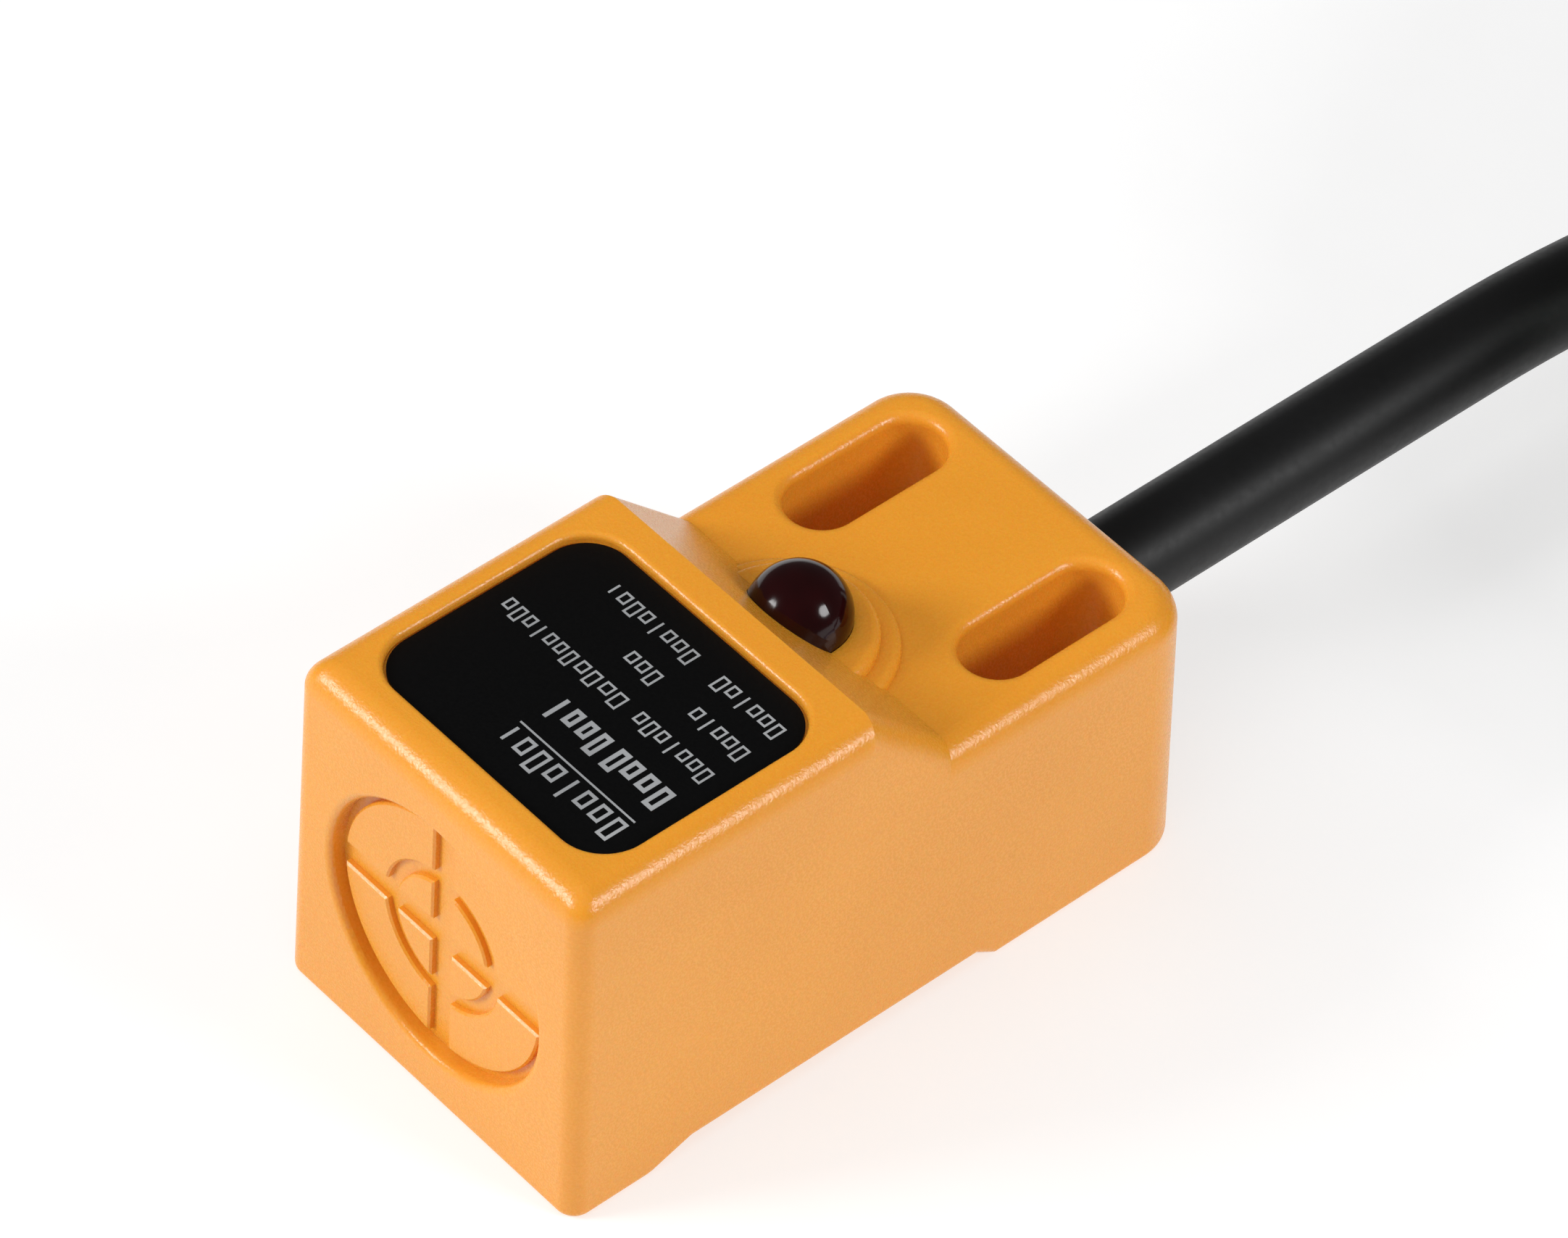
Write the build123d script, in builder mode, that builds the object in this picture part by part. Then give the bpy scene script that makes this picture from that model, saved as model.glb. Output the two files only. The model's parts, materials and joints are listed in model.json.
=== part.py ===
from build123d import *
import os
from math import cos, pi, radians, sin, sqrt, tan

# Rectangular inductive proximity sensor with a pre-wired cable. Millimetres. +Z is up, the
# sensing face looks along -Y, the cable leaves along +Y, and the origin is under the middle
# of the housing, on the surface that it stands on.

# Housing, outside
WIDTH = 18.0
LENGTH = 33.5
HEIGHT = 18.0
REAR_HEIGHT = 13.8
DRAFT = 1.15  # degrees, on every upright wall
SLOPE_TOP_Y = -0.95
SLOPE_FOOT_Y = SLOPE_TOP_Y + HEIGHT - REAR_HEIGHT  # the slope is at 45 degrees
FRONT_CORNER_R = 0.9
REAR_CORNER_R = 2.5
TOP_EDGE_R = 1.3
SLOPE_R = 2.2  # at the slope's top and foot
BOTTOM_EDGE_R = 0.4
FOOT_RISE = 0.7
FRONT_FOOT = (-12.55, -10.4)  # where the ramp behind the front foot starts and ends
REAR_FOOT = (4.85, 5.9)  # and the one before the rear foot

# Housing, inside
WALL_X = 7.55
FRONT_WALL_Y = -15.1
CHAMBER_REAR_Y = 5.2
CEILING_Z = 16.4
REAR_CEILING_Z = 12.6
SLOPE_WALL = 1.2
CHANNEL_X = 2.8
CHANNEL_REAR_Y = 15.2

# Mounting slots for M3 screws
SLOT_X = 5.35
SLOT_Y = 10.68
SLOT_WIDTH = 3.2
SLOT_LENGTH = 8.0
SLOT_RIM_R = 0.45

# Name plate and its pocket
PLATE = (14.1, 11.7)
PLATE_Y = -8.35
PLATE_R = 2.0
PLATE_THICK = 0.15
POCKET_GAP = 0.12
POCKET_DEPTH = 0.5
POCKET_RIM_R = 0.25

# Round relief in the sensing face
TARGET_Z = 8.9
TARGET_R = 6.4
TARGET_DEPTH = 0.8
PAD_HEIGHT = 0.3
PAD_OUTER_R = 6.0
PAD_INNER_R = 3.45
HUB_R = 2.8
CROSS_WIDTH = 1.2

# Indicator: dome, collar behind it, and the LED inside
DOME_R = 2.22
DOME_Y = 2.35
DOME_Z = 15.3
DOME_GAP = 0.02
COLLAR_Y = 1.75
COLLAR_STEPS = ((4.6, 14.3), (3.75, 14.95))  # radius and top of each step
COLLAR_BRINK_R = 0.4
LENS_BORE_R = 1.55
LENS_DEPTH = 2.3  # from the dome's centre to the back of the flange
LENS_FLANGE = (2.85, 0.62)  # radius and thickness
LED_R = 1.45
LED_DEPTH = 3.4
LED_PITCH = 1.28
LEG_R = 0.22

# Circuit board
BOARD_TOP = 7.0
BOARD_THICK = 0.8
BOARD_X = 7.2
BOARD_Y = (-10.9, 4.4)
STANDOFF = 0.08

# Sensing coil
CORE_R = 6.5
CORE_FRONT_Y = -15.0
CORE_LENGTH = 4.0
CORE_WALL = 1.2
CORE_BORE_R = 1.1
POST_R = 2.5
CORE_DEPTH = 2.6
NOTCH_WIDTH = 2.2
BOBBIN_BORE_R = 2.6
BOBBIN_TUBE_R = 2.95
BOBBIN_R = 5.15
BOBBIN_FLANGE = 0.3
BOBBIN_LENGTH = 2.4
WINDING_R = 4.9
LEAD_R = 0.12
LEAD_X = (-0.5, 0.5)

# Potting resin that closes the underside
RESIN_Z = (0.95, 2.1)

# Cable
CABLE_D = 4.4
CABLE_Z = 6.4
CABLE_START_Y = 8.5
WIRE_R = 0.6
WIRE_RING_R = 0.75  # how far each wire's middle is from the cable's
STRAND_R = 0.32
WIRE_COLOURS = {"brown": 90, "blue": 210, "black": 330}  # and the angle round the cable
CLAMP = (2.6, 9.2, 11.2)  # radius and the two ends
SEAL = (2.75, 12.9, 15.2)

# Cable put away in a coil, beside the line along which it leaves the housing
COIL_R = 24.4  # to the middle of the turns
COIL_COLUMNS = 3
COIL_LAYERS = 4
COIL_PLAY = 0.1  # how much larger the bundle's section is than its cables'
COIL_CORNER_R = 1.6
COIL_Y = 71.0
DIP_Y = (48.0, 61.5)  # where the cable starts to come down, and where it is down
DIP_SPLIT_Y = 54.3  # from here the cable is part of the coil's solid
TAIL_POINTS = [
    (57.6, 62.5, 15.85),
    (57.5, 54.5, 13.6),
    (57.2, 46.5, 8.6),
    (56.8, 38.5, 4.0),
    (56.2, 31.0, 2.2),
    (55.8, 26.0, 2.2),
]
TAIL_SPLIT = 4.5  # how far past the second of these points the coil's solid ends
TIE_THICK = 0.4
TIE_ARC = 7.0  # degrees of the coil that a tie covers
TIE_ANGLES = (45, 225)
TIE_HEAD = (2.6, 4.2, 4.0)  # out of the coil, up, and along it
LOOSE_ENDS = {"brown": (-0.6, 22.0), "blue": (-3.2, 20.5), "black": (2.2, 21.0)}  # aside, away
BARE_WIRE = 6.0

draft_slope = tan(radians(DRAFT))
cable_r = CABLE_D / 2
board_under = BOARD_TOP - BOARD_THICK
floor_z = TIE_THICK + COIL_PLAY / 2 + cable_r  # the middle of a cable in the coil's lowest layer
os.makedirs("parts", exist_ok=True)


def save(builder, name):
    """Labels a finished piece and writes it."""
    builder.part.label = name
    export_step(builder.part, f"parts/{name}.step")


def along(points, bends, radius):
    """A round wire along straight runs joined by tangent arcs of the radii in bends."""
    with BuildPart() as wire:
        with BuildLine() as route:
            if len(points) > 2:
                FilletPolyline(*points, radius=bends)
            else:
                Line(*points)
        with BuildSketch(Plane(origin=route.line @ 0, z_dir=route.line % 0)):
            Circle(radius)
        sweep(path=route.line)
    return wire


def joined(pieces):
    """Several finished shapes as one node."""
    with BuildPart() as whole:
        for piece in pieces:
            add(piece.part)
    return whole


def wire_place(colour):
    """A wire's place in the cable's section, across and up from its middle."""
    angle = radians(WIRE_COLOURS[colour])
    return WIRE_RING_R * cos(angle), WIRE_RING_R * sin(angle)


# ---------------------------------------------------------------- housing

inner_slope = SLOPE_TOP_Y + HEIGHT - SLOPE_WALL * sqrt(2)  # y + z on the slope's inner face
face_plane = Plane(
    origin=(0, -LENGTH / 2 + TARGET_Z * draft_slope, TARGET_Z),
    x_dir=(1, 0, 0),
    z_dir=(0, -cos(radians(DRAFT)), sin(radians(DRAFT))),
)
dome_plane = Plane(origin=(0, DOME_Y, DOME_Z), x_dir=(1, 0, 0), z_dir=(0, 1, 1))


def side_profile():
    """The housing's side view, which the drafted block is cut to."""
    reach = LENGTH / 2 + 1
    with BuildSketch(Plane.YZ) as profile:
        with BuildLine():
            Polyline(
                (-reach, 0),
                (FRONT_FOOT[0], 0),
                (FRONT_FOOT[1], FOOT_RISE),
                (REAR_FOOT[0], FOOT_RISE),
                (REAR_FOOT[1], 0),
                (reach, 0),
                (reach, REAR_HEIGHT),
                (SLOPE_FOOT_Y, REAR_HEIGHT),
                (SLOPE_TOP_Y, HEIGHT),
                (-reach, HEIGHT),
                close=True,
            )
        make_face()
        corners = profile.vertices()
        fillet([v for v in corners if v.X in FRONT_FOOT], 1.0)
        fillet([v for v in corners if v.X in REAR_FOOT], 0.4)
        fillet([v for v in corners if abs(v.X - SLOPE_FOOT_Y) < 0.1], SLOPE_R)
        fillet([v for v in corners if abs(v.X - SLOPE_TOP_Y) < 0.1], SLOPE_R)
    return profile.sketch


def collar_profile():
    """Half the section of the stepped collar that stands behind the dome."""
    stairs = []
    for radius, top in COLLAR_STEPS:
        stairs.append((COLLAR_Y + radius, top))
    outline = [(COLLAR_Y, REAR_CEILING_Z + 0.3), (stairs[0][0], REAR_CEILING_Z + 0.3), stairs[0]]
    for (_, below), (reach, top) in zip(stairs, stairs[1:]):
        outline += [(reach, below), (reach, top)]
    outline.append((COLLAR_Y, stairs[-1][1]))
    with BuildSketch(Plane.YZ) as profile:
        with BuildLine():
            Polyline(*outline, close=True)
        make_face()
        brinks = [v for v in profile.vertices() if (v.X, v.Y) in stairs]
        fillet(brinks, COLLAR_BRINK_R)
    return profile.sketch


def chamber_profile():
    """The side view of the space in front of the mounting slots."""
    with BuildSketch(Plane.YZ) as profile:
        with BuildLine():
            Polyline(
                (FRONT_WALL_Y, -1),
                (FRONT_WALL_Y, CEILING_Z),
                (inner_slope - CEILING_Z, CEILING_Z),
                (inner_slope - REAR_CEILING_Z, REAR_CEILING_Z),
                (CHAMBER_REAR_Y, REAR_CEILING_Z),
                (CHAMBER_REAR_Y, -1),
                close=True,
            )
        make_face()
    return profile.sketch


def upright(edge):
    return abs((edge % 0.5).Z) > 0.9


def on_outline(edge):
    """Whether an edge runs round the housing's top or bottom."""
    middle = edge @ 0.5
    outside = abs(middle.X) > WIDTH / 2 - 1.4 or abs(middle.Y) > LENGTH / 2 - 1.4
    return outside and not upright(edge)


def on_pads(face):
    """Whether a face is the top of one of the raised pads in the sensing face."""
    depth = face_plane.to_local_coords(face.center()).Z
    return abs(depth - PAD_HEIGHT + TARGET_DEPTH) < 0.01 and abs(face.normal_at().Y) > 0.9


with BuildPart() as housing:
    with BuildSketch():
        Rectangle(WIDTH, LENGTH)
    extrude(amount=HEIGHT, taper=DRAFT)
    fillet(housing.edges().filter_by(upright).group_by(Axis.Y)[0], FRONT_CORNER_R)
    fillet(housing.edges().filter_by(upright).group_by(Axis.Y)[-1], REAR_CORNER_R)
    extrude(side_profile(), amount=WIDTH, both=True, mode=Mode.INTERSECT)
    outline = housing.edges().filter_by(on_outline)
    fillet(outline.filter_by(lambda e: (e @ 0.5).Z > REAR_HEIGHT - 1), TOP_EDGE_R)
    outline = housing.edges().filter_by(on_outline)
    fillet(outline.filter_by(lambda e: (e @ 0.5).Z < FOOT_RISE + 0.1), BOTTOM_EDGE_R)

    # stepped collar
    revolve(collar_profile(), axis=Axis((0, COLLAR_Y, 0), (0, 0, 1)))

    # round relief in the sensing face
    with BuildSketch(face_plane):
        Circle(TARGET_R)
    extrude(amount=-TARGET_DEPTH, mode=Mode.SUBTRACT)
    rim = housing.edges().filter_by(GeomType.CIRCLE)
    fillet(rim.filter_by(lambda e: abs(e.radius - TARGET_R) < 0.01).sort_by(Axis.Y)[0], 0.3)
    with BuildSketch(face_plane.offset(-TARGET_DEPTH)):
        Circle(PAD_OUTER_R)
        Circle(PAD_INNER_R, mode=Mode.SUBTRACT)
        Circle(HUB_R)
        Rectangle(CROSS_WIDTH, 2 * TARGET_R, mode=Mode.SUBTRACT)
        Rectangle(2 * TARGET_R, CROSS_WIDTH, mode=Mode.SUBTRACT)
    extrude(amount=PAD_HEIGHT)
    chamfer([e for f in housing.faces().filter_by(on_pads) for e in f.edges()], 0.09)

    # pocket for the name plate
    with BuildSketch(Plane.XY.offset(HEIGHT)):
        with Locations((0, PLATE_Y)):
            RectangleRounded(
                PLATE[0] + 2 * POCKET_GAP, PLATE[1] + 2 * POCKET_GAP, PLATE_R + POCKET_GAP
            )
    extrude(amount=-POCKET_DEPTH, mode=Mode.SUBTRACT)
    rim = housing.faces().filter_by(Axis.Z).sort_by(Axis.Z)[-1].inner_wires()[0]
    fillet(rim.edges(), POCKET_RIM_R)

    # mounting slots
    with BuildSketch(Plane.XY.offset(REAR_HEIGHT)):
        with Locations((-SLOT_X, SLOT_Y), (SLOT_X, SLOT_Y)):
            SlotOverall(SLOT_LENGTH, SLOT_WIDTH, rotation=90)
    extrude(amount=-REAR_HEIGHT - 1, mode=Mode.SUBTRACT)
    deck = housing.faces().filter_by(Axis.Z).filter_by(
        lambda f: abs(f.center().Z - REAR_HEIGHT) < 0.01 and f.area > 30
    )
    rims = [w for w in deck[0].inner_wires() if abs(w.center().X) > 3]
    fillet([e for w in rims for e in w.edges()], SLOT_RIM_R)

    # space for the coil and the circuit board, open below, and the channel for the cable
    extrude(chamber_profile(), amount=WALL_X, both=True, mode=Mode.SUBTRACT)
    with BuildSketch(Plane.XY.offset(-1)):
        with Locations((0, (CHAMBER_REAR_Y + CHANNEL_REAR_Y) / 2 - 0.5)):
            Rectangle(2 * CHANNEL_X, CHANNEL_REAR_Y - CHAMBER_REAR_Y + 1)
    extrude(amount=REAR_CEILING_Z + 1, mode=Mode.SUBTRACT)

    # holes for the cable and the dome
    with BuildSketch(Plane(origin=(0, CHANNEL_REAR_Y - 1, CABLE_Z), z_dir=(0, 1, 0))):
        Circle(cable_r + 0.03)
    extrude(amount=4, mode=Mode.SUBTRACT)
    with BuildSketch(dome_plane.offset(-3)):
        Circle(DOME_R + DOME_GAP)
    extrude(amount=3, mode=Mode.SUBTRACT)
    with Locations(dome_plane.origin):
        Sphere(DOME_R + DOME_GAP, mode=Mode.SUBTRACT)
save(housing, "housing")

with BuildPart() as name_plate:
    with BuildSketch(Plane.XY.offset(HEIGHT - POCKET_DEPTH)):
        with Locations((0, PLATE_Y)):
            RectangleRounded(*PLATE, PLATE_R)
    extrude(amount=PLATE_THICK)
save(name_plate, "name_plate")

# ---------------------------------------------------------------- indicator

with BuildPart() as indicator_lens:
    with BuildSketch(dome_plane.offset(-LENS_DEPTH)):
        Circle(DOME_R)
    extrude(amount=LENS_DEPTH)
    with Locations(dome_plane.origin):
        Sphere(DOME_R)
    with BuildSketch(dome_plane.offset(-LENS_DEPTH)):
        Circle(LENS_FLANGE[0])
    extrude(amount=LENS_FLANGE[1])
    with BuildSketch(dome_plane.offset(-LENS_DEPTH)):
        Circle(LENS_BORE_R)
    extrude(amount=LENS_DEPTH - 0.1, mode=Mode.SUBTRACT)
    with Locations(dome_plane.offset(-0.1).origin):
        Sphere(LENS_BORE_R, mode=Mode.SUBTRACT)
save(indicator_lens, "indicator_lens")

with BuildPart() as indicator_led:
    with BuildSketch(dome_plane.offset(-LED_DEPTH)):
        Circle(LED_R)
    extrude(amount=LED_DEPTH - 0.5)
    with Locations(dome_plane.offset(-0.5).origin):
        Sphere(LED_R)
    with BuildSketch(dome_plane.offset(-LED_DEPTH)):
        Circle(LED_R + 0.2)
    extrude(amount=0.6)
save(indicator_led, "indicator_led")

led_foot = dome_plane.offset(-LED_DEPTH).origin
led_bend = dome_plane.offset(-LED_DEPTH - 0.9).origin
led_legs = joined(
    [
        along(
            [
                (x, led_foot.Y, led_foot.Z),
                (x, led_bend.Y, led_bend.Z),
                (x, led_bend.Y, BOARD_TOP),
            ],
            0.5,
            LEG_R,
        )
        for x in (-LED_PITCH / 2, LED_PITCH / 2)
    ]
)
save(led_legs, "led_legs")

# ---------------------------------------------------------------- sensing coil

coil_plane = Plane(origin=(0, CORE_FRONT_Y, TARGET_Z), x_dir=(1, 0, 0), z_dir=(0, -1, 0))

with BuildPart() as ferrite_core:
    with BuildSketch(coil_plane):
        Circle(CORE_R)
    extrude(amount=-CORE_LENGTH)
    with BuildSketch(coil_plane):
        Circle(CORE_R - CORE_WALL)
        Circle(POST_R, mode=Mode.SUBTRACT)
    extrude(amount=-CORE_DEPTH, mode=Mode.SUBTRACT)
    with BuildSketch(coil_plane):
        Circle(CORE_BORE_R)
        with Locations((0, -CORE_R), (0, CORE_R)):
            Rectangle(NOTCH_WIDTH, 2 * CORE_WALL + 0.4)
    extrude(amount=-CORE_LENGTH, mode=Mode.SUBTRACT)
save(ferrite_core, "ferrite_core")

with BuildPart() as coil_bobbin:
    with BuildSketch(coil_plane.offset(-0.1)):
        Circle(BOBBIN_R)
    extrude(amount=-BOBBIN_LENGTH)
    with BuildSketch(coil_plane.offset(-0.1 - BOBBIN_FLANGE)):
        Circle(BOBBIN_R)
        Circle(BOBBIN_TUBE_R, mode=Mode.SUBTRACT)
    extrude(amount=2 * BOBBIN_FLANGE - BOBBIN_LENGTH, mode=Mode.SUBTRACT)
    with BuildSketch(coil_plane):
        Circle(BOBBIN_BORE_R)
    extrude(amount=-CORE_DEPTH, mode=Mode.SUBTRACT)
save(coil_bobbin, "coil_bobbin")

with BuildPart() as coil_winding:
    with BuildSketch(coil_plane.offset(-0.12 - BOBBIN_FLANGE)):
        Circle(WINDING_R)
        Circle(BOBBIN_TUBE_R + 0.02, mode=Mode.SUBTRACT)
    extrude(amount=2 * BOBBIN_FLANGE + 0.04 - BOBBIN_LENGTH)
save(coil_winding, "coil_winding")

lead_y = CORE_FRONT_Y + CORE_DEPTH / 2
lead_low = TARGET_Z - CORE_R + 0.6
pad_y = BOARD_Y[0] + 0.8
coil_leads = joined(
    [
        along(
            [
                (x, lead_y, TARGET_Z - WINDING_R),
                (x, lead_y, lead_low),
                (x, pad_y, lead_low),
                (x, pad_y, board_under),
            ],
            0.4,
            LEAD_R,
        )
        for x in LEAD_X
    ]
)
save(coil_leads, "coil_leads")

# ---------------------------------------------------------------- circuit board

with BuildPart() as circuit_board:
    with BuildSketch(Plane.XY.offset(board_under)):
        with Locations((0, sum(BOARD_Y) / 2)):
            RectangleRounded(2 * BOARD_X, BOARD_Y[1] - BOARD_Y[0], 0.6)
    extrude(amount=BOARD_THICK)
save(circuit_board, "circuit_board")

# places are across, along, and sizes are across, along, up
SENSOR_IC = ((-3.3, -5.6), (3.9, 4.9, 1.4))
TRANSISTOR = ((3.9, -8.0), (4.5, 2.5, 1.5))
DIODE = ((5.2, -2.9), (2.6, 4.3, 2.0))
TANTALUM = ((-5.4, 1.2), (2.8, 3.5, 1.9))
CHIP_SIZE = (1.6, 0.8)
IC_PITCH = 1.27
RESISTOR_PLACES = ((1.2, -5.6), (1.2, -4.2), (1.2, -2.8), (-6.0, -9.6), (-3.6, -9.6), (5.9, 1.6))
CERAMIC_PLACES = ((-1.2, -9.6), (0.7, -7.2), (-3.4, -1.9), (5.9, 3.2))


def package(place, size, slope=4):
    """A moulded package, a little above the board, narrower at its top."""
    with BuildPart() as body:
        with BuildSketch(Plane.XY.offset(BOARD_TOP + STANDOFF)):
            with Locations(place):
                Rectangle(size[0], size[1])
        extrude(amount=size[2], taper=slope)
    return body


for name, (place, size) in {
    "sensor_ic": SENSOR_IC,
    "output_transistor": TRANSISTOR,
    "output_diode": DIODE,
    "supply_capacitor": TANTALUM,
}.items():
    save(package(place, size), name)

for name, places, high in (
    ("resistors", RESISTOR_PLACES, 0.5),
    ("ceramic_capacitors", CERAMIC_PLACES, 0.85),
):
    with BuildPart() as chips:
        with BuildSketch(Plane.XY.offset(BOARD_TOP)):
            with Locations(places):
                Rectangle(*CHIP_SIZE)
        extrude(amount=high)
    save(chips, name)

# a bent pin's outline, away from its package and up from the board
PIN_PROFILE = (
    (0, 0.75),
    (0.3, 0.75),
    (0.3, 0.15),
    (0.85, 0.15),
    (0.85, 0),
    (0.15, 0),
    (0.15, 0.6),
    (0, 0.6),
)


def gull_wing(x, y, side):
    """A bent pin that leaves a package's wall at x, towards side, and stands on the board."""
    with BuildPart() as pin:
        with BuildSketch(Plane.XZ.offset(-y)):
            with BuildLine():
                Polyline(*[(x + side * a, BOARD_TOP + b) for a, b in PIN_PROFILE], close=True)
            make_face()
        extrude(amount=0.2, both=True)
    return pin


def end_cap(place, size, side):
    """A flat terminal under the end of a two-terminal package."""
    with BuildPart() as cap:
        with BuildSketch(Plane.XY.offset(BOARD_TOP)):
            with Locations((place[0], place[1] + side * size[1] / 2)):
                Rectangle(0.6 * size[0], 0.7)
        extrude(amount=STANDOFF)
    return cap


def flat_pin(x, y):
    """A flat pin that lies on the board, half under its package."""
    with BuildPart() as pin:
        with BuildSketch(Plane.XY.offset(BOARD_TOP)):
            with Locations((x, y)):
                Rectangle(0.5, 1.6)
        extrude(amount=STANDOFF)
    return pin


(ic_x, ic_y), ic_size = SENSOR_IC
(tr_x, tr_y), tr_size = TRANSISTOR
pins = []
for side in (-1, 1):
    for row in (-1.5, -0.5, 0.5, 1.5):
        pins.append(gull_wing(ic_x + side * ic_size[0] / 2, ic_y + IC_PITCH * row, side))
    pins.append(end_cap(*DIODE, side))
    pins.append(end_cap(*TANTALUM, side))
pins += [flat_pin(tr_x + row, tr_y + tr_size[1] / 2) for row in (-1.5, 0, 1.5)]
component_pins = joined(pins)
save(component_pins, "component_pins")

# ---------------------------------------------------------------- cable inside the housing

WIRE_LANES = {"brown": 0.0, "blue": -1.9, "black": 1.9}
WIRE_END_Y = 3.2
PAD_Y = 1.2
wire_level = BOARD_TOP + WIRE_R + 0.02


def inner_wire(colour):
    """The route of a wire from the jacket's end to the board."""
    across, up = wire_place(colour)
    lane = WIRE_LANES[colour]
    return [
        (across, CABLE_START_Y, CABLE_Z + up),
        (across, CABLE_START_Y - 0.9, CABLE_Z + up),
        (lane, 5.8, wire_level),
        (lane, WIRE_END_Y, wire_level),
    ]


for colour in WIRE_COLOURS:
    save(along(inner_wire(colour), [1.2, 1.2], WIRE_R), f"inner_wire_{colour}")

inner_strands = joined(
    [
        along(
            [
                (lane, WIRE_END_Y, wire_level),
                (lane, WIRE_END_Y - 0.8, wire_level),
                (lane, PAD_Y, BOARD_TOP + STRAND_R),
            ],
            0.6,
            STRAND_R - 0.02,
        )
        for lane in WIRE_LANES.values()
    ]
)
save(inner_strands, "inner_strands")

with BuildPart() as solder_joints:
    for x in (-LED_PITCH / 2, LED_PITCH / 2):
        with Locations((x, led_bend.Y, BOARD_TOP)):
            Cone(0.55, 0.24, 0.6, align=(Align.CENTER, Align.CENTER, Align.MIN))
    for lane in WIRE_LANES.values():
        with BuildSketch(Plane.XY.offset(BOARD_TOP)):
            with Locations((lane, PAD_Y + 0.3)):
                SlotOverall(2.2, 1.3, rotation=90)
        extrude(amount=0.75, taper=25)
    for x in LEAD_X:
        with Locations((x, pad_y, board_under)):
            Cone(0.14, 0.36, 0.4, align=(Align.CENTER, Align.CENTER, Align.MAX))
    add(led_legs.part, mode=Mode.SUBTRACT)
    add(coil_leads.part, mode=Mode.SUBTRACT)
    add(inner_strands.part, mode=Mode.SUBTRACT)
save(solder_joints, "solder_joints")


def sleeve(radius, start, end):
    """A ring round the cable's jacket."""
    with BuildPart() as ring:
        with BuildSketch(Plane(origin=(0, start, CABLE_Z), z_dir=(0, 1, 0))):
            Circle(radius)
            Circle(cable_r, mode=Mode.SUBTRACT)
        extrude(amount=end - start)
    return ring


save(sleeve(*CLAMP), "cable_clamp")
save(sleeve(*SEAL), "cable_seal")

with BuildPart() as potting_resin:
    with BuildSketch(Plane.XY.offset(RESIN_Z[0])):
        with Locations((0, (FRONT_WALL_Y + CHAMBER_REAR_Y) / 2)):
            Rectangle(2 * WALL_X, CHAMBER_REAR_Y - FRONT_WALL_Y)
        with Locations((0, (CHAMBER_REAR_Y + CHANNEL_REAR_Y) / 2)):
            Rectangle(2 * CHANNEL_X, CHANNEL_REAR_Y - CHAMBER_REAR_Y)
    extrude(amount=RESIN_Z[1] - RESIN_Z[0])
save(potting_resin, "potting_resin")

# ---------------------------------------------------------------- cable outside the housing

outer_turn = COIL_R + (COIL_COLUMNS - 1) * cable_r
top_z = floor_z + (COIL_LAYERS - 1) * CABLE_D
coil_centre = Vector(outer_turn, COIL_Y, 0)  # the cable's line touches the outermost turn
coil_leaves = Vector(coil_centre.X + outer_turn, COIL_Y, top_z)
arrival_route = [
    Vector(0, CABLE_START_Y, CABLE_Z),
    Vector(0, DIP_Y[0], CABLE_Z),
    Vector(0, DIP_Y[1], floor_z),
    Vector(0, COIL_Y, floor_z),
]
tail_route = [coil_leaves] + [Vector(*p) for p in TAIL_POINTS]


def arc_radii(points):
    """For each corner of a route, the arc that takes 0.45 of the shorter run beside it."""
    radii = []
    for before, corner, after in zip(points, points[1:], points[2:]):
        half_turn = radians((corner - before).get_angle(after - corner)) / 2
        shorter = min((corner - before).length, (after - corner).length)
        radii.append(0.45 * shorter / tan(half_turn))
    return radii


def cable_run(name, points, radii):
    """A run of the cable, and a print of its volume beside its section's times its length."""
    run = along(points, radii, cable_r)
    path = FilletPolyline(*points, radius=radii, mode=Mode.PRIVATE)
    volume = pi * cable_r**2 * path.length
    print(name, "radii", [round(r, 1) for r in radii], "length", round(path.length, 1))
    print(name, "volume", round(run.part.volume, 1), "section times length", round(volume, 1))
    return run


dip_start, dip_end = arrival_route[1:3]
dip_split = dip_start + (dip_end - dip_start) * (DIP_SPLIT_Y - DIP_Y[0]) / (DIP_Y[1] - DIP_Y[0])
tail_split = tail_route[2] + (tail_route[3] - tail_route[2]).normalized() * TAIL_SPLIT
first_bend, last_bend = arc_radii(arrival_route)
tail_bends = arc_radii(tail_route)

cable = cable_run("cable", [arrival_route[0], dip_start, dip_split], [first_bend])
save(cable, "cable")

coil_arrival = cable_run("arrival", [dip_split, dip_end, arrival_route[3]], [last_bend])
coil_departure = cable_run("departure", tail_route[:3] + [tail_split], tail_bends[:2])
bundle = (COIL_COLUMNS * CABLE_D + COIL_PLAY, COIL_LAYERS * CABLE_D + COIL_PLAY)
bundle_z = TIE_THICK + bundle[1] / 2
coil_axis = Axis(coil_centre, (0, 0, -1))


def coil_section(angle):
    """The upright plane through the coil's axis at an angle, with its origin on the axis."""
    a = radians(angle)
    return Plane(origin=coil_centre, x_dir=(cos(a), sin(a), 0), z_dir=(sin(a), -cos(a), 0))


with BuildPart() as cable_coil:
    with BuildSketch(coil_section(0)):
        with Locations((COIL_R, bundle_z)):
            RectangleRounded(*bundle, COIL_CORNER_R)
    revolve(axis=coil_axis)
    add(coil_arrival.part)
    add(coil_departure.part)
save(cable_coil, "cable_coil")

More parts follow.
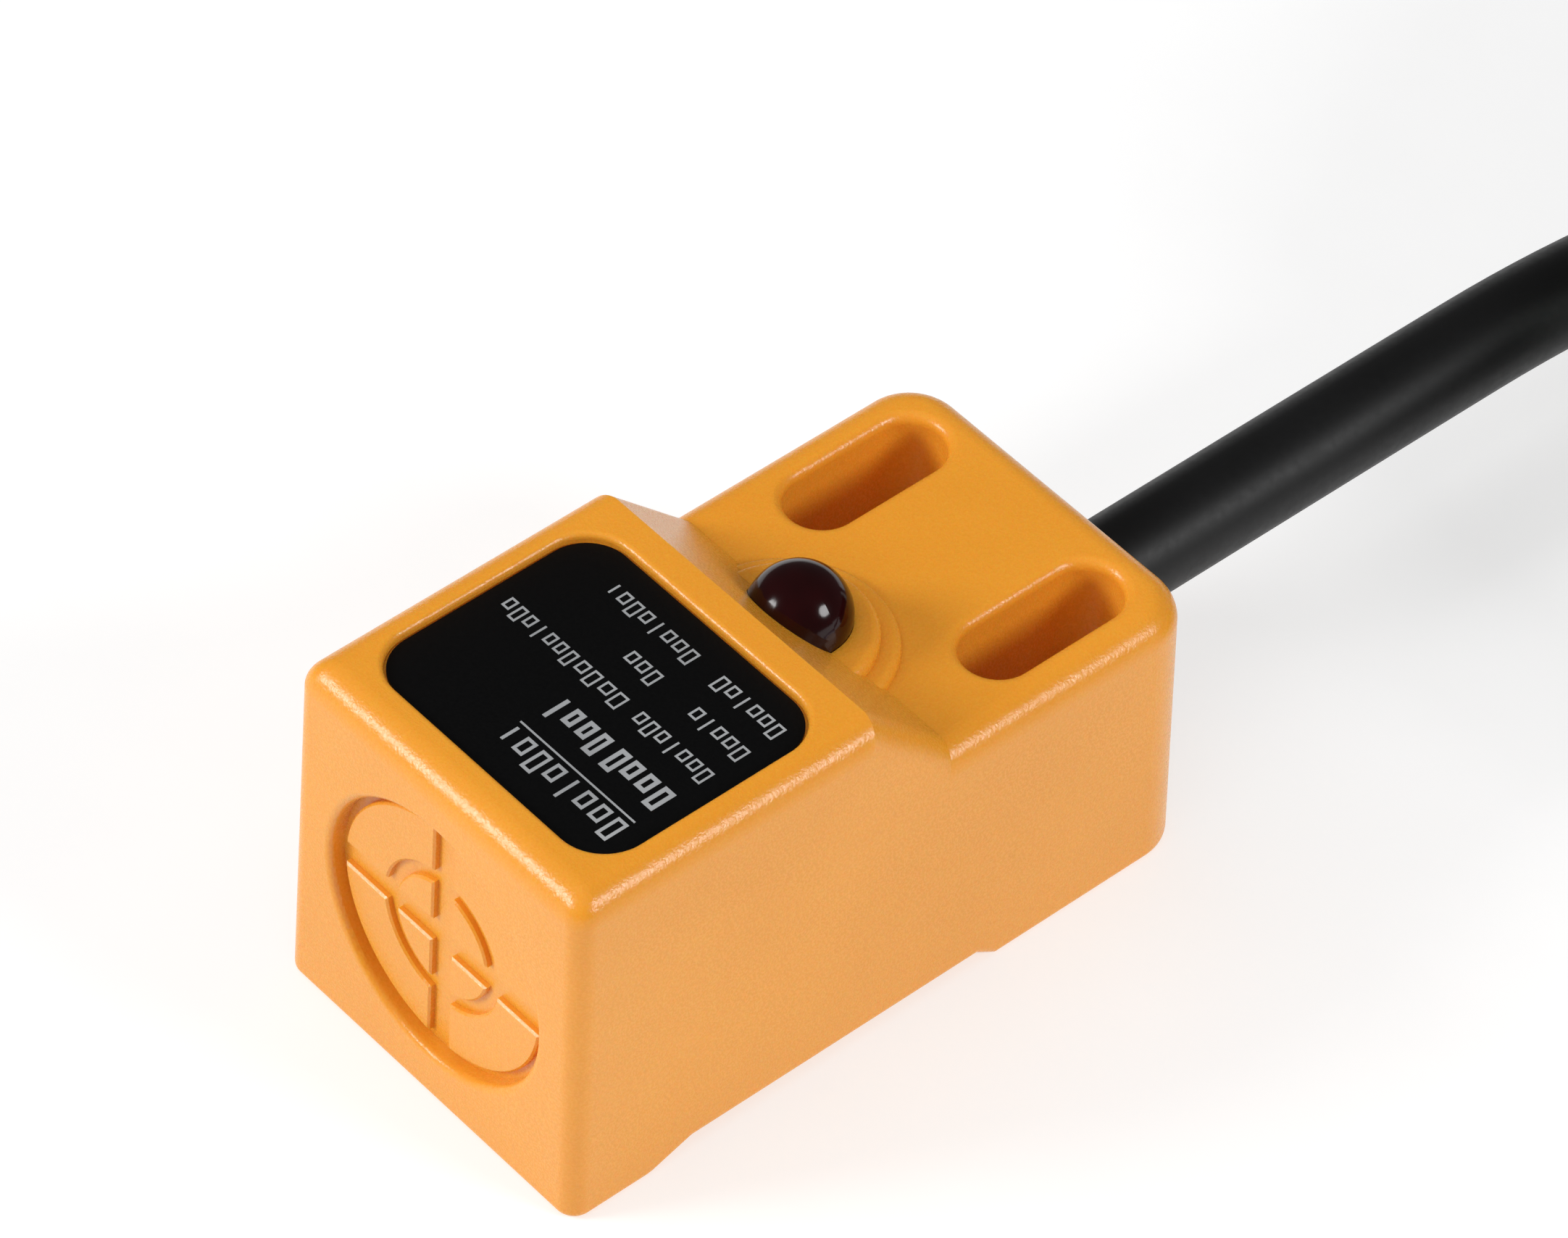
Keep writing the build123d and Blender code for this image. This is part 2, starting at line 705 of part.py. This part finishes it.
for number, angle in enumerate(TIE_ANGLES, start=1):
    outer_face = COIL_R + bundle[0] / 2 + TIE_THICK
    with BuildPart() as tie:
        with BuildSketch(coil_section(angle + TIE_ARC / 2)):
            with Locations((COIL_R, bundle_z)):
                RectangleRounded(
                    bundle[0] + 2 * TIE_THICK,
                    bundle[1] + 2 * TIE_THICK,
                    COIL_CORNER_R + TIE_THICK,
                )
                RectangleRounded(*bundle, COIL_CORNER_R, mode=Mode.SUBTRACT)
        revolve(axis=coil_axis, revolution_arc=TIE_ARC)
        with BuildSketch(coil_section(angle)):
            with Locations((outer_face + TIE_HEAD[0] / 2 - 0.2, bundle_z)):
                Rectangle(TIE_HEAD[0], TIE_HEAD[1])
        extrude(amount=TIE_HEAD[2] / 2, both=True)
        with BuildSketch(coil_section(angle)):
            with Locations((outer_face + TIE_HEAD[0] / 2, bundle_z + TIE_HEAD[1])):
                Rectangle(0.9, TIE_HEAD[1] + 1)
        extrude(amount=TIE_HEAD[2] / 2 - 0.6, both=True)
    save(tie, f"coil_tie_{number}")

cable_tail = cable_run("cable_tail", [tail_split] + tail_route[3:], tail_bends[2:])
save(cable_tail, "cable_tail")

# ---------------------------------------------------------------- wires at the cable's far end

tail_end = tail_route[-1]
tail_direction = (tail_end - tail_route[-2]).normalized()
tail_aside = tail_direction.cross(Vector(0, 0, 1)).normalized()
tail_up = tail_aside.cross(tail_direction)


def loose_wire(colour):
    """The route of a wire from the jacket's end to where its insulation ends, on the floor."""
    across, up = wire_place(colour)
    aside, away = LOOSE_ENDS[colour]
    start = tail_end - tail_aside * across + tail_up * up
    return [
        start,
        start + tail_direction * 3.5,
        (tail_end.X + 0.3 * aside + across, tail_end.Y - 0.42 * away, WIRE_R + 0.1),
        (tail_end.X + aside, tail_end.Y - away, WIRE_R),
    ]


for colour in WIRE_COLOURS:
    save(along(loose_wire(colour), [7, 9], WIRE_R), f"loose_wire_{colour}")


def bare_end(colour):
    """The strands that stand out of a loose wire's insulation."""
    *_, before, last = (Vector(*p) for p in loose_wire(colour))
    return along([last, last + (last - before).normalized() * BARE_WIRE], None, STRAND_R)


bare_ends = joined([bare_end(colour) for colour in WIRE_COLOURS])
save(bare_ends, "bare_ends")
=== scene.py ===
"""Looks for a rectangular inductive proximity sensor with a pre-wired cable. Metres, +Z up.

The sensing face looks along -Y and the cable leaves along +Y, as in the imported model.
"""

import json
import math

import bmesh
import bpy
from mathutils import Matrix, Vector


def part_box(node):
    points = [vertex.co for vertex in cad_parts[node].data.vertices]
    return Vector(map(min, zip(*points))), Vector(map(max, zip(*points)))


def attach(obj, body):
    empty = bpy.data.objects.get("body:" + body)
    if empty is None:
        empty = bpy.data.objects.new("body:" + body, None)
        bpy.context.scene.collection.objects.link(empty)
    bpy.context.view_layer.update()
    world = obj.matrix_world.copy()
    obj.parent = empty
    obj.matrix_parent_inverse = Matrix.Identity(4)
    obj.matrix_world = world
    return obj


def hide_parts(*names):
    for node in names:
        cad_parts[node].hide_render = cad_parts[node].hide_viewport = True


MM = 0.001
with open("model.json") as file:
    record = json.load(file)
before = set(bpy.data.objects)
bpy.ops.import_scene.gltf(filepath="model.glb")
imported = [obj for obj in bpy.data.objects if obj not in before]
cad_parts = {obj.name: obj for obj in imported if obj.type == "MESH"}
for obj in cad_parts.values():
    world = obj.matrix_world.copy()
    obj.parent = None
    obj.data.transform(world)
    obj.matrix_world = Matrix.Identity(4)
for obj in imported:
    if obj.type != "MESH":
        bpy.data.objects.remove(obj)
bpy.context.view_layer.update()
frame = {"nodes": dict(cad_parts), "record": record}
nodes = frame["nodes"]
slot_of = {s["node"]: s["material_slot"] for s in frame["record"]["subparts"]}
scene = bpy.context.scene
scene.view_settings.view_transform = "Standard"

# ---------------------------------------------------------------- camera

CAMERA_AZIMUTH = math.radians(46.774)
CAMERA_ELEVATION = math.radians(46.36)
CAMERA_ROLL = math.radians(2.99)
CAMERA_DISTANCE = 344.47 * MM
CAMERA_TARGET = Vector((0.305, 1.25, 15.913)) * MM
CAMERA_LENS = 199.06
CAMERA_SENSOR = 36.0
CAMERA_NEAR = 0.01
CAMERA_FAR = 20.0


def build_camera():
    """A long lens above the sensing face's right corner."""
    data = bpy.data.cameras.new("camera")
    data.sensor_width = CAMERA_SENSOR
    data.lens = CAMERA_LENS
    data.clip_start = CAMERA_NEAR
    data.clip_end = CAMERA_FAR
    camera = bpy.data.objects.new("camera", data)
    scene.collection.objects.link(camera)
    flat = math.cos(CAMERA_ELEVATION)
    back = Vector(
        (
            math.sin(CAMERA_AZIMUTH) * flat,
            -math.cos(CAMERA_AZIMUTH) * flat,
            math.sin(CAMERA_ELEVATION),
        )
    )
    level = (-back).cross(Vector((0, 0, 1))).normalized()
    upright = level.cross(-back)
    right = level * math.cos(CAMERA_ROLL) + upright * math.sin(CAMERA_ROLL)
    up = upright * math.cos(CAMERA_ROLL) - level * math.sin(CAMERA_ROLL)
    turn = Matrix((right, up, back)).transposed().to_4x4()
    camera.matrix_world = Matrix.Translation(CAMERA_TARGET + back * CAMERA_DISTANCE) @ turn
    scene.camera = camera


build_camera()

# ---------------------------------------------------------------- cable

CABLE_D = 4.4
CABLE_Z = 6.4  # the cable's middle where it leaves the housing
COIL_FLOOR = 2.65  # the middle of the coil's lowest layer
APPROACH = [
    (0.0, 8.5, CABLE_Z),
    (0.0, 34.0, 6.35),
    (0.0, 48.0, 6.2),
    (0.0, 61.5, COIL_FLOOR),
]
COIL_CENTRE = (28.8, 71.0)
COIL_COLUMNS = (28.5, 24.1, 19.7)  # radius to the middle of the cable, outermost first
COIL_LAYERS = 4
COIL_TURNS = 11.5  # from the coil's -X side round to its +X side
COIL_STEP = 15.0  # degrees between points
CROSSING = 110.0  # degrees over which a turn moves over to the next
CROSSING_SHIFT = 20.0  # how much sooner the turns cross after each change of direction
TAIL = [
    (57.6, 62.5, 15.85),
    (57.5, 54.5, 13.6),
    (57.2, 46.5, 8.6),
    (56.8, 38.5, 4.0),
    (56.2, 31.0, 2.2),
    (55.8, 26.0, 2.2),
]
SPLINE_ORDER = 3
STEPS_ALONG = 10  # of the cable's mesh, for each point of its line
STEPS_ROUND = 10


def coil_places():
    """Radius and height of each turn in winding order, and how often the winding has changed
    direction by the time it gets there."""
    places = []
    for layer in range(COIL_LAYERS):
        columns = COIL_COLUMNS if layer % 2 == 0 else COIL_COLUMNS[::-1]
        for number, radius in enumerate(columns):
            changes = 2 * layer - (number == 0 and layer > 0)
            places.append((radius, COIL_FLOOR + layer * CABLE_D, changes))
    return places


def coil_points():
    """The turns, wound clockwise from the bottom layer up, each easing over to the next."""
    stretch = 8 / (6 + 2 * math.cos(math.radians(COIL_STEP)))  # the spline cuts its corners
    places = coil_places()
    points = []
    for i in range(1, round(360 * COIL_TURNS / COIL_STEP)):
        wound = i * COIL_STEP
        radius, height, changes = places[0]
        for turn in range(1, len(places)):
            end = 360 * turn - CROSSING_SHIFT * places[turn][2]
            moved = min(1.0, max(0.0, 1 + (wound - end) / CROSSING))
            eased = 0.5 - 0.5 * math.cos(math.pi * moved)
            radius += eased * (places[turn][0] - places[turn - 1][0])
            height += eased * (places[turn][1] - places[turn - 1][1])
        angle = math.radians(180 - wound)
        x = COIL_CENTRE[0] + stretch * radius * math.cos(angle)
        y = COIL_CENTRE[1] + stretch * radius * math.sin(angle)
        points.append((x, y, height))
    return points


def build_cable():
    """The whole cable as one smooth line with a round section."""
    reach = COIL_COLUMNS[0]
    meets = (COIL_CENTRE[0] - reach, COIL_CENTRE[1], COIL_FLOOR)
    leaves = (COIL_CENTRE[0] + reach, COIL_CENTRE[1], TAIL[0][2])
    points = APPROACH + [meets] + coil_points() + [leaves] + TAIL
    data = bpy.data.curves.new("cable_jacket", "CURVE")
    data.dimensions = "3D"
    spline = data.splines.new("NURBS")
    spline.points.add(len(points) - 1)
    for point, place in zip(spline.points, points):
        point.co = (*(Vector(place) * MM), 1.0)
        point.radius = CABLE_D / 2 * MM  # times the bevel's depth of one metre
    spline.order_u = SPLINE_ORDER
    spline.use_endpoint_u = True
    spline.resolution_u = STEPS_ALONG
    data.bevel_depth = 1.0
    data.bevel_resolution = STEPS_ROUND
    data.use_fill_caps = True
    cable = bpy.data.objects.new("cable_jacket", data)
    scene.collection.objects.link(cable)
    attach(cable, "root")
    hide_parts("cable", "cable_coil", "cable_tail")
    return cable


cable = build_cable()

# ---------------------------------------------------------------- material building blocks

DRIFT_SCALE = 160
GLOSS_SPREAD = 0.15  # how far a plain finish's roughness strays, as a share of it


def new_material(name):
    """A new material, its node tree and its shader."""
    material = bpy.data.materials.new(name)
    material.use_nodes = True
    tree = material.node_tree
    tree.nodes.clear()
    output = tree.nodes.new("ShaderNodeOutputMaterial")
    shader = tree.nodes.new("ShaderNodeBsdfPrincipled")
    tree.links.new(shader.outputs["BSDF"], output.inputs["Surface"])
    return material, tree, shader


def noise(tree, scale, detail=2.0, rough=0.5):
    """Noise over the object's own coordinates, with cells 1 / scale of a metre across."""
    place = tree.nodes.new("ShaderNodeTexCoord")
    node = tree.nodes.new("ShaderNodeTexNoise")
    node.inputs["Scale"].default_value = scale
    node.inputs["Detail"].default_value = detail
    node.inputs["Roughness"].default_value = rough
    tree.links.new(place.outputs["Object"], node.inputs["Vector"])
    return node.outputs["Fac"]


def spread(tree, value, low, high, start=0.3, end=0.7):
    """Maps a noise value to a range."""
    node = tree.nodes.new("ShaderNodeMapRange")
    node.inputs["From Min"].default_value = start
    node.inputs["From Max"].default_value = end
    node.inputs["To Min"].default_value = low
    node.inputs["To Max"].default_value = high
    tree.links.new(value, node.inputs["Value"])
    return node.outputs["Result"]


def mixed(tree, factor, first, second):
    """A colour between two."""
    node = tree.nodes.new("ShaderNodeMix")
    node.data_type = "RGBA"
    tree.links.new(factor, node.inputs["Factor"])
    node.inputs["A"].default_value = (*first, 1.0)
    node.inputs["B"].default_value = (*second, 1.0)
    return node.outputs["Result"]


def bumped(tree, heights, shader):
    """Adds bumps to a shader, each a height value with its depth in millimetres."""
    normal = None
    for value, depth in heights:
        node = tree.nodes.new("ShaderNodeBump")
        node.inputs["Strength"].default_value = 1.0
        node.inputs["Distance"].default_value = depth * MM
        tree.links.new(value, node.inputs["Height"])
        if normal is not None:
            tree.links.new(normal, node.inputs["Normal"])
        normal = node.outputs["Normal"]
    tree.links.new(normal, shader.inputs["Normal"])


def surface(name, colour, rough, grain=4000, depth=0.002, metallic=0.0, shift=0.12, **sockets):
    """A procedural finish: grain for its bumps and gloss, and slow drift in its colour."""
    material, tree, shader = new_material(name)
    drift = spread(tree, noise(tree, DRIFT_SCALE, detail=3.0), 0.0, 1.0)
    darker = tuple(c * (1 - shift) for c in colour)
    lighter = tuple(min(1.0, c * (1 + shift)) for c in colour)
    tree.links.new(mixed(tree, drift, darker, lighter), shader.inputs["Base Color"])
    fine = noise(tree, grain, detail=3.0, rough=0.6)
    gloss = spread(tree, fine, rough * (1 - GLOSS_SPREAD), rough * (1 + GLOSS_SPREAD))
    tree.links.new(gloss, shader.inputs["Roughness"])
    shader.inputs["Metallic"].default_value = metallic
    for socket, value in sockets.items():
        shader.inputs[socket.replace("_", " ").title()].default_value = value
    bumped(tree, [(fine, depth)], shader)
    return material


# ---------------------------------------------------------------- materials

# two colours for each moulded or printed surface, which its noise runs between
HOUSING_ORANGE = ((0.80, 0.322, 0.024), (0.85, 0.352, 0.030))
LENS_RED = ((0.010, 0.0008, 0.0010), (0.018, 0.0012, 0.0016))
JACKET_BLACK = ((0.003, 0.003, 0.0031), (0.005, 0.005, 0.0052))
PLATE_BLACK = ((0.0006, 0.0006, 0.0007), (0.0018, 0.0018, 0.0019))
INK_GREY = (0.34, 0.35, 0.36)
HOUSING_IOR = 1.5
GLOW_WEIGHT = 0.35  # light that scatters inside the housing's plastic
GLOW_RADIUS = (1.0, 0.32, 0.05)
GLOW_REACH = 0.9


def housing_material():
    """Orange moulded plastic with a fine spark-eroded skin."""
    material, tree, shader = new_material("housing_plastic")
    drift = spread(tree, noise(tree, scale=90, detail=3.0), 0.0, 1.0)
    colour = mixed(tree, drift, *HOUSING_ORANGE)
    tree.links.new(colour, shader.inputs["Base Color"])
    grain = noise(tree, scale=8500, detail=2.0, rough=0.6)
    pores = noise(tree, scale=3600, detail=2.0, rough=0.5)
    tree.links.new(spread(tree, grain, low=0.20, high=0.34), shader.inputs["Roughness"])
    shader.inputs["IOR"].default_value = HOUSING_IOR
    shader.inputs["Subsurface Weight"].default_value = GLOW_WEIGHT
    shader.inputs["Subsurface Radius"].default_value = GLOW_RADIUS
    shader.inputs["Subsurface Scale"].default_value = GLOW_REACH * MM
    bumped(tree, [(pores, 0.012), (grain, 0.018)], shader)
    return material


def lens_material():
    """Dark red clear plastic, polished."""
    material, tree, shader = new_material("lens_plastic")
    drift = spread(tree, noise(tree, scale=500, detail=2.0), 0.0, 1.0)
    colour = mixed(tree, drift, *LENS_RED)
    tree.links.new(colour, shader.inputs["Base Color"])
    smear = noise(tree, scale=900, detail=3.0, rough=0.6)
    tree.links.new(spread(tree, smear, low=0.10, high=0.15), shader.inputs["Roughness"])
    shader.inputs["Specular IOR Level"].default_value = 0.3
    bumped(tree, [(smear, 0.002)], shader)
    return material


def cable_material():
    """Soft satin black jacket."""
    material, tree, shader = new_material("cable_jacket")
    drift = spread(tree, noise(tree, scale=120, detail=3.0), 0.0, 1.0)
    colour = mixed(tree, drift, *JACKET_BLACK)
    tree.links.new(colour, shader.inputs["Base Color"])
    fine = noise(tree, scale=2500, detail=3.0, rough=0.6)
    tree.links.new(spread(tree, fine, low=0.46, high=0.54), shader.inputs["Roughness"])
    shader.inputs["Specular IOR Level"].default_value = 0.4
    bumped(tree, [(fine, 0.003)], shader)
    return material


def plate_material():
    """Matt black printed film."""
    material, tree, shader = new_material("plate_plastic")
    speck = noise(tree, scale=9000, detail=2.0, rough=0.7)
    fleck = spread(tree, speck, 0.0, 1.0, start=0.35, end=0.75)
    colour = mixed(tree, fleck, *PLATE_BLACK)
    tree.links.new(colour, shader.inputs["Base Color"])
    fine = noise(tree, scale=6000, detail=3.0, rough=0.6)
    tree.links.new(spread(tree, fine, low=0.44, high=0.56), shader.inputs["Roughness"])
    shader.inputs["Specular IOR Level"].default_value = 0.2
    bumped(tree, [(fine, 0.0015)], shader)
    return material


def ink_material():
    """Pale grey screen-printed ink."""
    return surface("plate_ink", INK_GREY, 0.55, grain=9000, depth=0.001, shift=0.18)


MATERIALS = {
    "housing_plastic": housing_material(),
    "lens_plastic": lens_material(),
    "cable_jacket": cable_material(),
    "plate_plastic": plate_material(),
    "led_resin": surface("led_resin", (0.5, 0.015, 0.01), 0.12, transmission_weight=0.6),
    "tinned_metal": surface("tinned_metal", (0.72, 0.71, 0.68), 0.28, metallic=1.0),
    "solder": surface("solder", (0.66, 0.67, 0.68), 0.22, metallic=1.0, depth=0.004),
    "ferrite": surface("ferrite", (0.045, 0.045, 0.048), 0.55, grain=6000, depth=0.004),
    "bobbin_plastic": surface("bobbin_plastic", (0.74, 0.71, 0.62), 0.4),
    "copper": surface("copper", (0.80, 0.36, 0.17), 0.26, metallic=1.0, grain=9000),
    "board_laminate": surface("board_laminate", (0.012, 0.12, 0.04), 0.3, grain=5000),
    "package_epoxy": surface("package_epoxy", (0.018, 0.018, 0.019), 0.5, grain=8000),
    "tantalum_epoxy": surface("tantalum_epoxy", (0.72, 0.38, 0.04), 0.45),
    "resistor_ceramic": surface("resistor_ceramic", (0.03, 0.03, 0.032), 0.4),
    "capacitor_ceramic": surface("capacitor_ceramic", (0.42, 0.27, 0.14), 0.4),
    "wire_brown": surface("wire_brown", (0.13, 0.04, 0.015), 0.32),
    "wire_blue": surface("wire_blue", (0.01, 0.07, 0.42), 0.32),
    "wire_black": surface("wire_black", (0.01, 0.01, 0.011), 0.32),
    "clamp_metal": surface("clamp_metal", (0.6, 0.6, 0.6), 0.3, metallic=1.0),
    "seal_rubber": surface("seal_rubber", (0.02, 0.02, 0.02), 0.6),
    "resin": surface("resin", (0.02, 0.02, 0.022), 0.14, grain=700),
    "tie_nylon": surface("tie_nylon", (0.74, 0.74, 0.70), 0.35, subsurface_weight=0.2),
}


for node, piece in nodes.items():
    piece.data.materials.clear()
    piece.data.materials.append(MATERIALS[slot_of[node]])
cable.data.materials.append(MATERIALS["cable_jacket"])

# ---------------------------------------------------------------- print on the name plate

plate_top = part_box("name_plate")[1].z / MM
PRINT_HEIGHT = 0.012
# each row: where its words start and end across the plate, its base along the object, and the
# height, width, gap and stroke of its marks
PRINT_ROWS = [
    (((6.05, -0.9),), -11.75, 1.25, 0.66, 0.30, 0.15),
    (((6.0, 3.6), (3.4, 2.8), (2.3, -0.75)), -9.3, 1.3, 0.62, 0.26, 0.2),
    (((6.1, 1.8), (1.0, -0.3), (-0.55, -1.75), (-2.0, -6.15)), -7.42, 0.85, 0.44, 0.19, 0.1),
    (((6.1, 3.0), (0.9, -0.9)), -5.57, 0.85, 0.44, 0.19, 0.1),
    (((6.1, 2.35), (0.95, -4.2)), -3.72, 0.85, 0.44, 0.19, 0.1),
]
UNDERLINE = (6.06, -0.82, -11.52, 0.09)  # where it starts and ends, its base and its stroke
MARK_HEIGHTS = (1.0, 0.72, 0.72, 1.0, 0.72)  # as a share of the row's height, over and over
BAR_EVERY = 4  # every so many marks, a plain bar takes the place of a hollow one


def add_block(mesh, low, high):
    """Adds a box between two corners, in millimetres."""
    size = [b - a for a, b in zip(low, high)]
    middle = [(a + b) / 2 for a, b in zip(low, high)]
    place = Matrix.Translation(Vector(middle) * MM) @ Matrix.Diagonal((*(Vector(size) * MM), 1))
    bmesh.ops.create_cube(mesh, size=1.0, matrix=place)


def add_flat(mesh, left, right, low, high):
    """Adds a flat rectangle of ink on the plate."""
    add_block(mesh, (left, low, plate_top), (right, high, plate_top + PRINT_HEIGHT))


def add_hollow(mesh, left, right, low, high, stroke):
    """Adds a hollow box to a row, four strokes round nothing."""
    add_flat(mesh, left, left + stroke, low, high)
    add_flat(mesh, right - stroke, right, low, high)
    add_flat(mesh, left + stroke, right - stroke, low, low + stroke)
    add_flat(mesh, left + stroke, right - stroke, high - stroke, high)


def build_print():
    """Rows of plain marks where a plate carries its data, and a rule under the first row."""
    mesh = bmesh.new()
    for words, base, height, width, gap, stroke in PRINT_ROWS:
        for start, end in words:
            count = max(1, round((start - end + gap) / (width + gap)))
            pitch = (start - end + gap) / count
            for i in range(count):
                right = start - i * pitch
                left = right - pitch + gap
                low = base - height * MARK_HEIGHTS[i % len(MARK_HEIGHTS)]
                if i % BAR_EVERY == BAR_EVERY - 1:
                    middle = (left + right) / 2
                    add_flat(mesh, middle - stroke / 2, middle + stroke / 2, low, base)
                else:
                    add_hollow(mesh, left, right, low, base, stroke)
    start, end, base, thick = UNDERLINE
    add_flat(mesh, end, start, base, base + thick)
    data = bpy.data.meshes.new("plate_print")
    mesh.to_mesh(data)
    mesh.free()
    data.materials.append(ink_material())
    piece = bpy.data.objects.new("plate_print", data)
    scene.collection.objects.link(piece)
    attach(piece, "root")


build_print()

# ---------------------------------------------------------------- floor and light

FLOOR_HALF = 3.0
FLOOR_GREY = (0.5, 0.5, 0.5)
FLOOR_GLOW = 0.56  # light of its own, so that it comes out white
WHITE = (1.0, 1.0, 1.0, 1.0)
WORLD_STRENGTH = 0.10
LIGHT_AIM = Vector((0, 0, 10)) * MM
LIGHT_DISTANCE = 0.6
# name, direction from the housing, width in metres, watts, and whether reflections show it
LIGHTS = [
    ("overhead", (-0.12, -0.35, 0.93), 1.1, 2.8, False),
    ("key_left", (-0.475, -0.73, 0.491), 0.22, 2.05, True),
    ("key_right", (0.796, 0.331, 0.507), 0.22, 1.75, True),
]


def build_floor():
    """A plain pale floor."""
    mesh = bpy.data.meshes.new("floor")
    a, b = -FLOOR_HALF, FLOOR_HALF
    mesh.from_pydata([(a, a, 0), (b, a, 0), (b, b, 0), (a, b, 0)], [], [(0, 1, 2, 3)])
    floor = bpy.data.objects.new("floor", mesh)
    scene.collection.objects.link(floor)
    mesh.materials.append(
        surface(
            "floor_paper",
            FLOOR_GREY,
            0.9,
            grain=600,
            shift=0.01,
            emission_color=WHITE,
            emission_strength=FLOOR_GLOW,
        )
    )


def add_light(name, direction, size, power, in_reflections):
    """A round soft light that looks at the middle of the housing."""
    data = bpy.data.lights.new(name, "AREA")
    data.shape = "DISK"
    data.size = size
    data.energy = power
    light = bpy.data.objects.new(name, data)
    scene.collection.objects.link(light)
    light.location = LIGHT_AIM + Vector(direction).normalized() * LIGHT_DISTANCE
    light.rotation_mode = "QUATERNION"
    light.rotation_quaternion = (LIGHT_AIM - light.location).to_track_quat("-Z", "Y")
    light.visible_glossy = in_reflections


def build_world():
    """Even white light from all round."""
    world = bpy.data.worlds.new("studio")
    scene.world = world
    world.use_nodes = True
    background = world.node_tree.nodes["Background"]
    background.inputs["Color"].default_value = WHITE
    background.inputs["Strength"].default_value = WORLD_STRENGTH


build_floor()
build_world()
for light_values in LIGHTS:
    add_light(*light_values)
